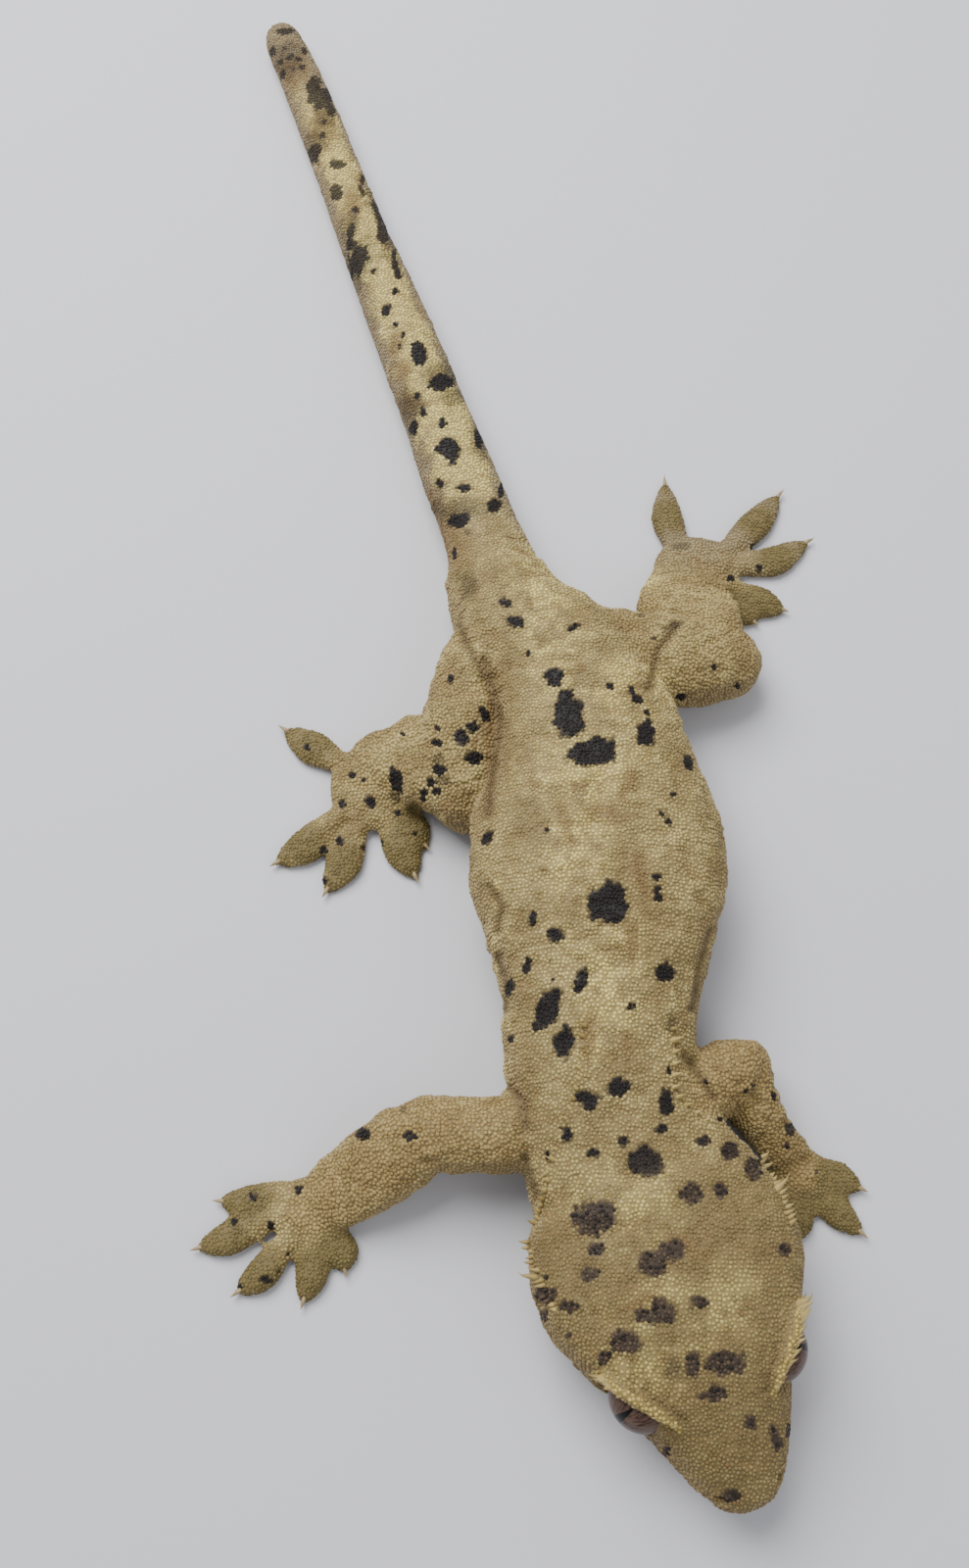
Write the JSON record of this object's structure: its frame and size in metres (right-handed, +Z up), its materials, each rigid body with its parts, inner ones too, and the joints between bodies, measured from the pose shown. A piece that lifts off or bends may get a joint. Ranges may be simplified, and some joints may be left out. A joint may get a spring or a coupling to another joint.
{
  "type": "crested gecko",
  "caption": "Life-size still model of a crested gecko lying on a table, spotted cream skin, crested head turned to its left, long tail laid back.",
  "frame": {"origin": "centre of the animal's bounding box, on the floor it rests on", "axes": "+Z up from the floor, +Y towards the tail tip, +X towards the animal's left side"},
  "size_m": [0.0718, 0.1918, 0.0166],
  "materials": {
    "head_skin": "fine scaly skin, greenish cream with grey-black spots",
    "body_skin": "fine granular skin, cream tan with black spots",
    "tail_skin": "fine scaly skin, yellow cream with grey-black spots",
    "limb_skin": "overlapping small scales, tan with a few dark spots",
    "toe_skin": "olive-yellow toe pads with small scales",
    "eye": "glossy eyeball with a veined iris and a slit pupil",
    "claw": "horn-brown claw tips"
  },
  "bodies": {
    "root": {"head": "head_skin", "lower_jaw": "head_skin", "eye_right": "eye", "eye_left": "eye", "neck": "body_skin", "torso": "body_skin", "hips": "body_skin", "tail_base": "tail_skin", "tail_middle": "tail_skin", "tail_tip": "tail_skin", "upper_arm_right": "limb_skin", "forearm_right": "limb_skin", "hand_right": "toe_skin", "upper_arm_left": "limb_skin", "forearm_left": "limb_skin", "hand_left": "toe_skin", "thigh_right": "limb_skin", "shank_right": "limb_skin", "foot_right": "toe_skin", "thigh_left": "limb_skin", "shank_left": "limb_skin", "foot_left": "toe_skin"}
  },
  "joints": []
}
